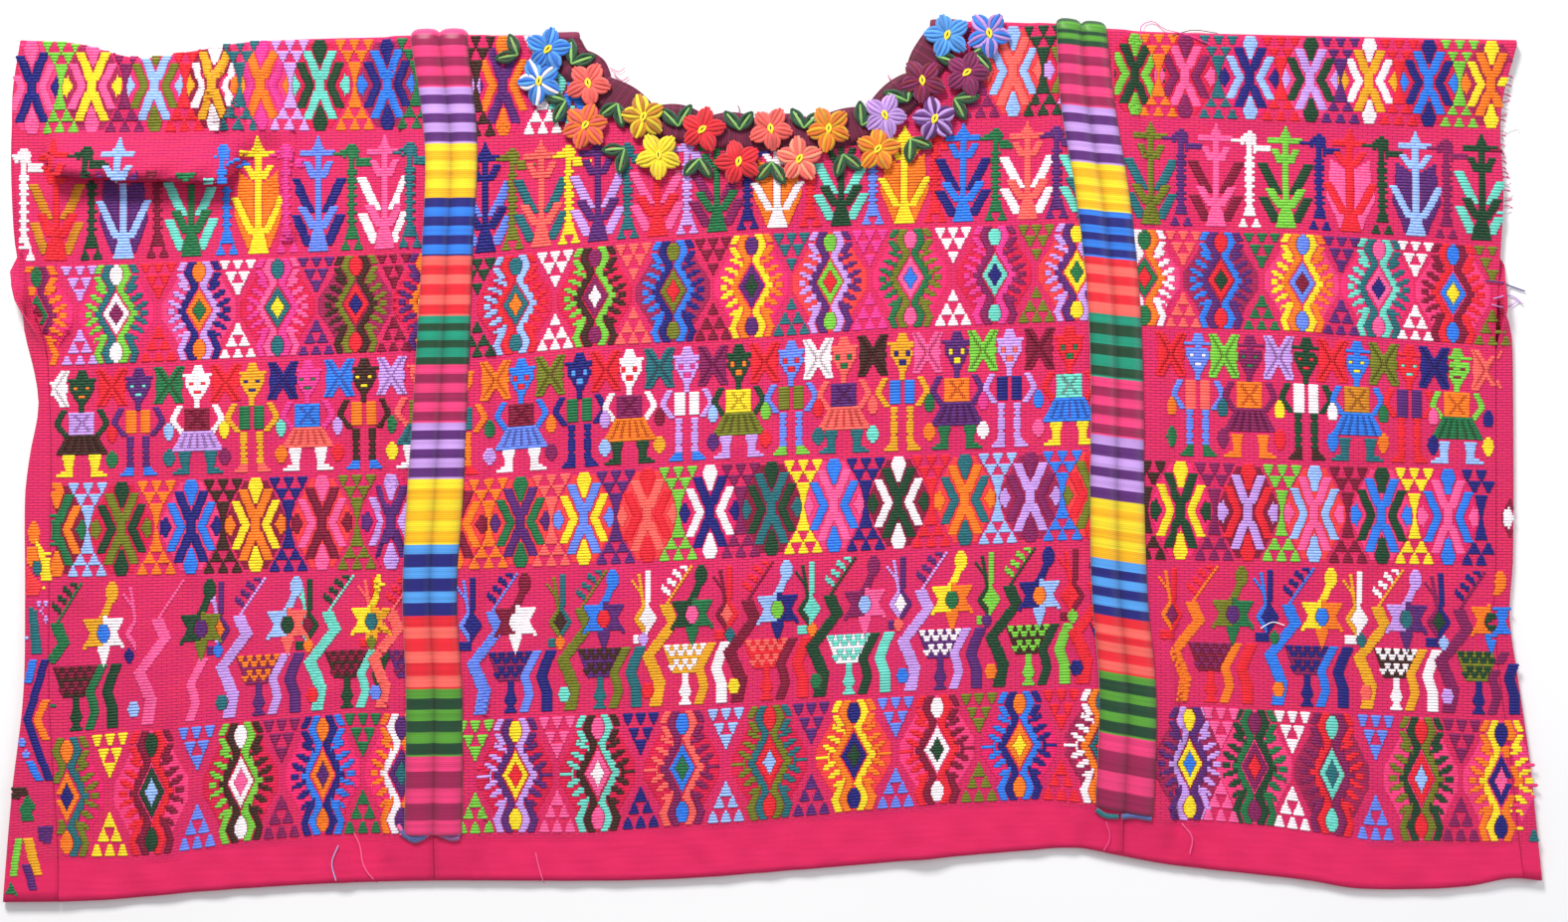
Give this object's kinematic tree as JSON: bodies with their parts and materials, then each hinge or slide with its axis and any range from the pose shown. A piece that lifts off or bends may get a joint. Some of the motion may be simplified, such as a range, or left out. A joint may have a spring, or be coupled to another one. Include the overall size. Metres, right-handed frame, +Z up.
{
  "type": "huipil blouse",
  "caption": "Wide sleeveless blouse of brocaded lengths joined by raised embroidered bands, with a flowered scalloped neck, laid flat on its back",
  "frame": {"origin": "on the surface it lies on, under the middle of the garment's bounding box", "axes": "X across the chest towards the wearer's left side as seen, Y from the hem towards the neck, Z up from the surface; the front faces +Z"},
  "size_m": [0.87, 0.4992, 0.0135],
  "materials": {
    "brocade": "handwoven cotton, matte, with raised multicoloured weft figures",
    "band_thread": "satin stitch in striped colour groups, soft sheen",
    "neck_cloth": "matte burgundy cloth with a worked scalloped edge",
    "petal_blue": "thick embroidery yarn, soft sheen",
    "petal_coral": "thick embroidery yarn, soft sheen",
    "petal_gold": "thick embroidery yarn, soft sheen",
    "petal_red": "thick embroidery yarn, soft sheen",
    "petal_pink": "thick embroidery yarn, soft sheen",
    "petal_lilac": "thick embroidery yarn, soft sheen",
    "leaf_thread": "thick embroidery yarn, soft sheen"
  },
  "bodies": {
    "root": {"left_panel": "brocade", "centre_panel": "brocade", "right_panel": "brocade", "left_randa": "band_thread", "right_randa": "band_thread", "neck_band": "neck_cloth", "flower_01": "petal_blue", "flower_02": "petal_coral", "flower_03": "petal_gold", "flower_04": "petal_red", "flower_05": "petal_pink", "flower_06": "petal_lilac", "flower_07": "petal_blue", "flower_08": "petal_coral", "flower_09": "petal_gold", "flower_10": "petal_red", "flower_11": "petal_pink", "flower_12": "petal_lilac", "flower_13": "petal_blue", "flower_14": "petal_coral", "flower_15": "petal_gold", "flower_16": "petal_red", "flower_17": "petal_pink", "flower_18": "petal_lilac", "leaves_01": "leaf_thread", "leaves_02": "leaf_thread", "leaves_03": "leaf_thread", "leaves_04": "leaf_thread", "leaves_05": "leaf_thread", "leaves_06": "leaf_thread", "leaves_07": "leaf_thread", "leaves_08": "leaf_thread", "leaves_09": "leaf_thread", "leaves_10": "leaf_thread", "leaves_11": "leaf_thread", "leaves_12": "leaf_thread", "leaves_13": "leaf_thread", "leaves_14": "leaf_thread", "leaves_15": "leaf_thread", "leaves_16": "leaf_thread", "leaves_17": "leaf_thread"}
  },
  "joints": []
}
